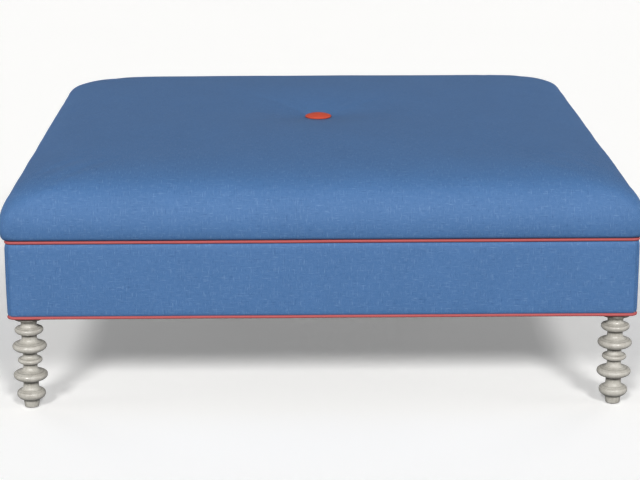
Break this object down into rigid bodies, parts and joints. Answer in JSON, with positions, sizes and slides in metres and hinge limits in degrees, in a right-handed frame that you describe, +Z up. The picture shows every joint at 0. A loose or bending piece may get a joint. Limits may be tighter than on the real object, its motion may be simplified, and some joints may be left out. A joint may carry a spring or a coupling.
{
  "type": "upholstered ottoman",
  "caption": "Large square upholstered cocktail ottoman: crowned button-tufted cushion over a welted apron band, on short turned bobbin legs.",
  "frame": {"origin": "on the floor, under the middle of the ottoman", "axes": "+Z up, the front faces -Y, +X to the right of someone who looks at the front"},
  "size_m": [1.242, 1.242, 0.4819],
  "materials": {
    "blue_linen": "woven linen blend, slubby plain weave, matt",
    "coral_cloth": "plain woven cotton, cut on the bias, matt",
    "leg_paint": "grey-white rubbed paint over turned hardwood, clear satin topcoat",
    "frame_wood": "planed hardwood, unfinished",
    "toggle_wood": "dowel, unfinished",
    "spring_steel": "oiled spring wire",
    "clip_steel": "zinc-plated sheet and wire",
    "plated_steel": "zinc-plated",
    "glide_nylon": "moulded nylon",
    "burlap": "coarse jute cloth",
    "foam": "open-cell polyurethane foam",
    "batting": "polyester wadding",
    "cotton_cord": "twisted cotton filler cord",
    "waxed_twine": "waxed linen twine",
    "felt": "needled cotton felt",
    "tack_board": "plain card strip",
    "dust_cloth": "black non-woven cloth"
  },
  "bodies": {
    "root": {"apron_back": "blue_linen", "apron_felt": "felt", "apron_front": "blue_linen", "apron_left": "blue_linen", "apron_right": "blue_linen", "back_rail": "frame_wood", "batting": "batting", "button_back": "plated_steel", "button_covering": "coral_cloth", "button_shell": "plated_steel", "button_twine": "waxed_twine", "centre_rail": "frame_wood", "clip_nails": "clip_steel", "corner_post_back_left": "frame_wood", "corner_post_back_right": "frame_wood", "corner_post_front_left": "frame_wood", "corner_post_front_right": "frame_wood", "dust_cover": "dust_cloth", "foam_core": "foam", "frame_dowels": "frame_wood", "front_rail": "frame_wood", "glide_back_left": "glide_nylon", "glide_back_right": "glide_nylon", "glide_front_left": "glide_nylon", "glide_front_right": "glide_nylon", "left_rail": "frame_wood", "leg_back_left": "leg_paint", "leg_back_right": "leg_paint", "leg_bolts": "plated_steel", "leg_front_left": "leg_paint", "leg_front_right": "leg_paint", "leg_inserts": "plated_steel", "lower_welt": "coral_cloth", "lower_welt_cord": "cotton_cord", "right_rail": "frame_wood", "seat_cover": "blue_linen", "seat_spring_01": "spring_steel", "seat_spring_02": "spring_steel", "seat_spring_03": "spring_steel", "seat_spring_04": "spring_steel", "seat_spring_05": "spring_steel", "seat_spring_06": "spring_steel", "seat_spring_07": "spring_steel", "seat_spring_08": "spring_steel", "seat_spring_09": "spring_steel", "seat_spring_10": "spring_steel", "spring_clips_back": "clip_steel", "spring_clips_centre": "clip_steel", "spring_clips_front": "clip_steel", "spring_deck": "burlap", "staples": "clip_steel", "stay_wires": "spring_steel", "tack_strips": "tack_board", "twine_toggle": "toggle_wood", "upper_welt": "coral_cloth", "upper_welt_cord": "cotton_cord"}
  },
  "joints": []
}
